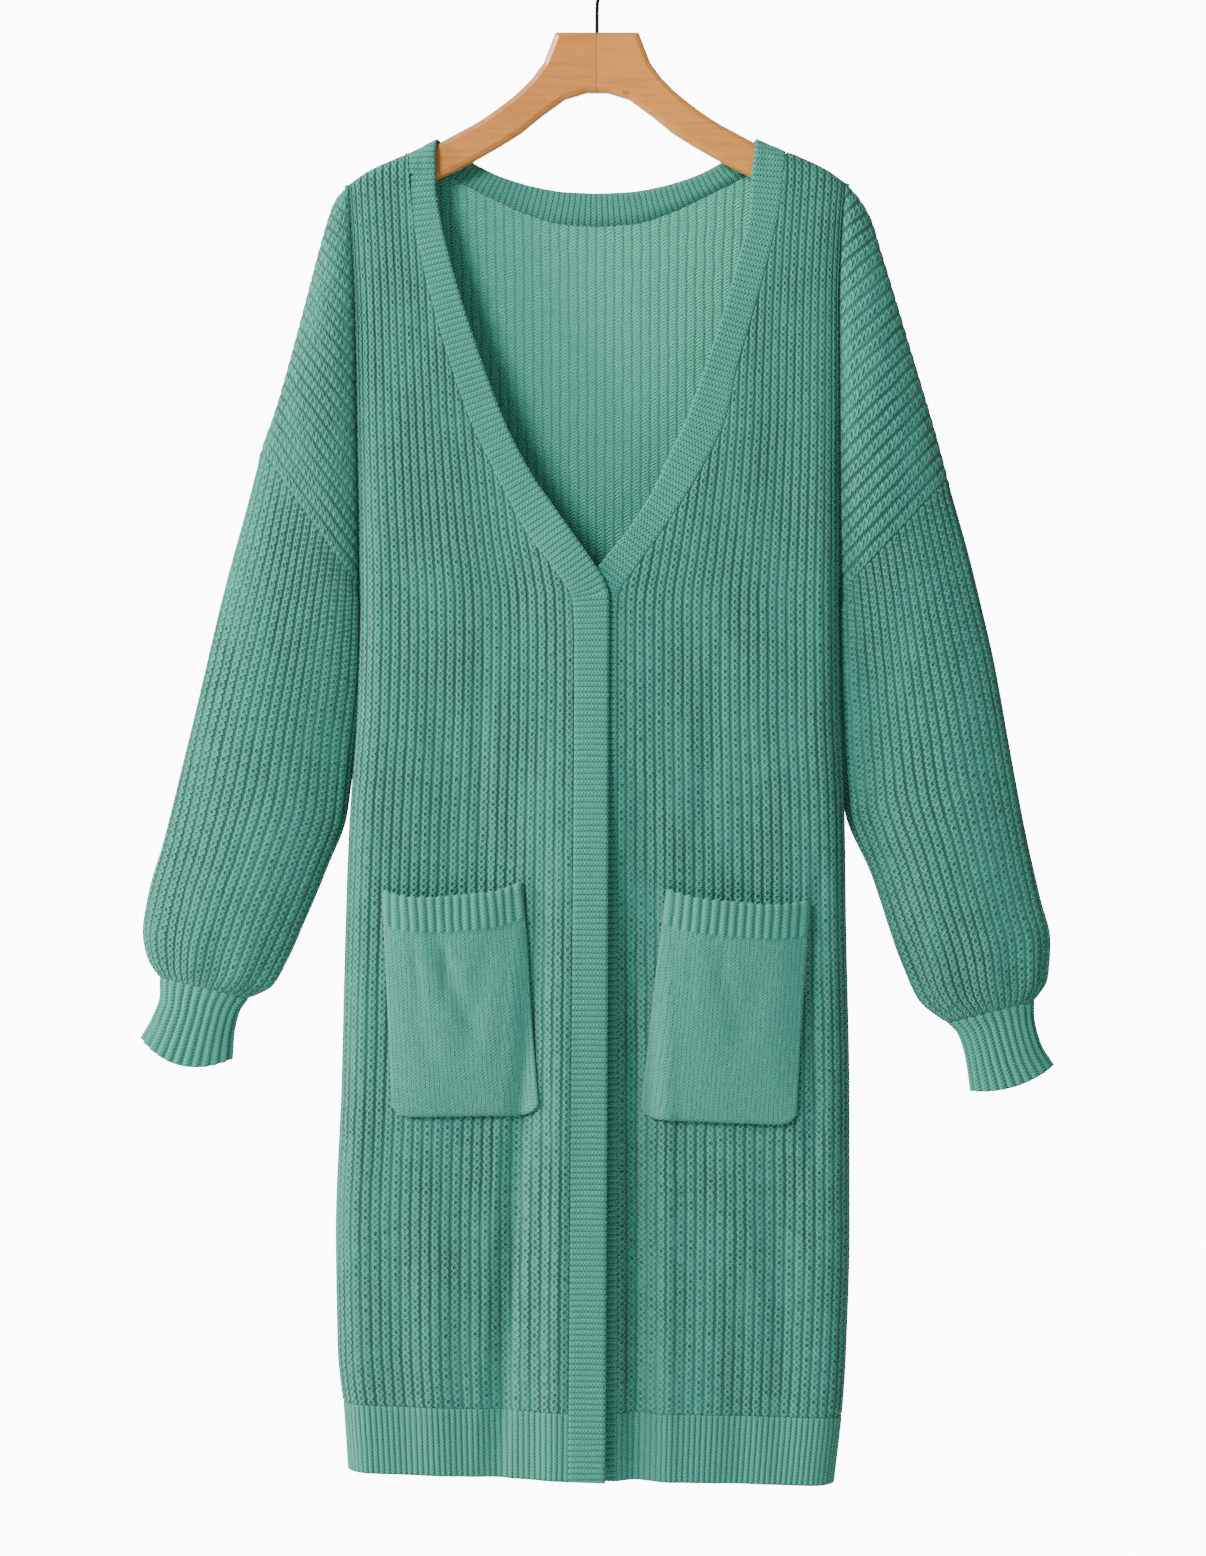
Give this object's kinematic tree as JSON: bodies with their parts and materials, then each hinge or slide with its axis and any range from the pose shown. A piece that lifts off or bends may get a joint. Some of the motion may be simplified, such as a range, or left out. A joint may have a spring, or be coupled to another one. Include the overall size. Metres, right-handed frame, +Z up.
{
  "type": "duster cardigan on a hanger",
  "caption": "Long open-front knitted cardigan with a V neck, drop shoulders, patch pockets and ribbed edges, hanging on a flat wooden hanger with a wire hook.",
  "frame": {"origin": "inside of the hook's top, where a rail would be", "axes": "+Z up, -Y the way the garment's front faces, +X to the right as the front is seen (the wearer's left)"},
  "size_m": [0.7041, 0.0723, 1.1975],
  "materials": {
    "knit": "soft chunky rib knit",
    "band_knit": "fine rib and plain knit",
    "wood": "satin varnish",
    "black_wire": "black gloss"
  },
  "bodies": {
    "root": {"front_right": "knit", "front_left": "knit", "back": "knit", "sleeve_right": "knit", "sleeve_left": "knit", "cuff_right": "knit", "cuff_left": "knit", "hem_front_right": "knit", "hem_front_left": "knit", "hem_back": "knit", "band_front_right": "band_knit", "band_front_left": "band_knit", "band_back_neck": "band_knit", "pocket_right": "band_knit", "pocket_left": "band_knit", "hanger_body": "wood", "hanger_hook": "black_wire"}
  },
  "joints": []
}
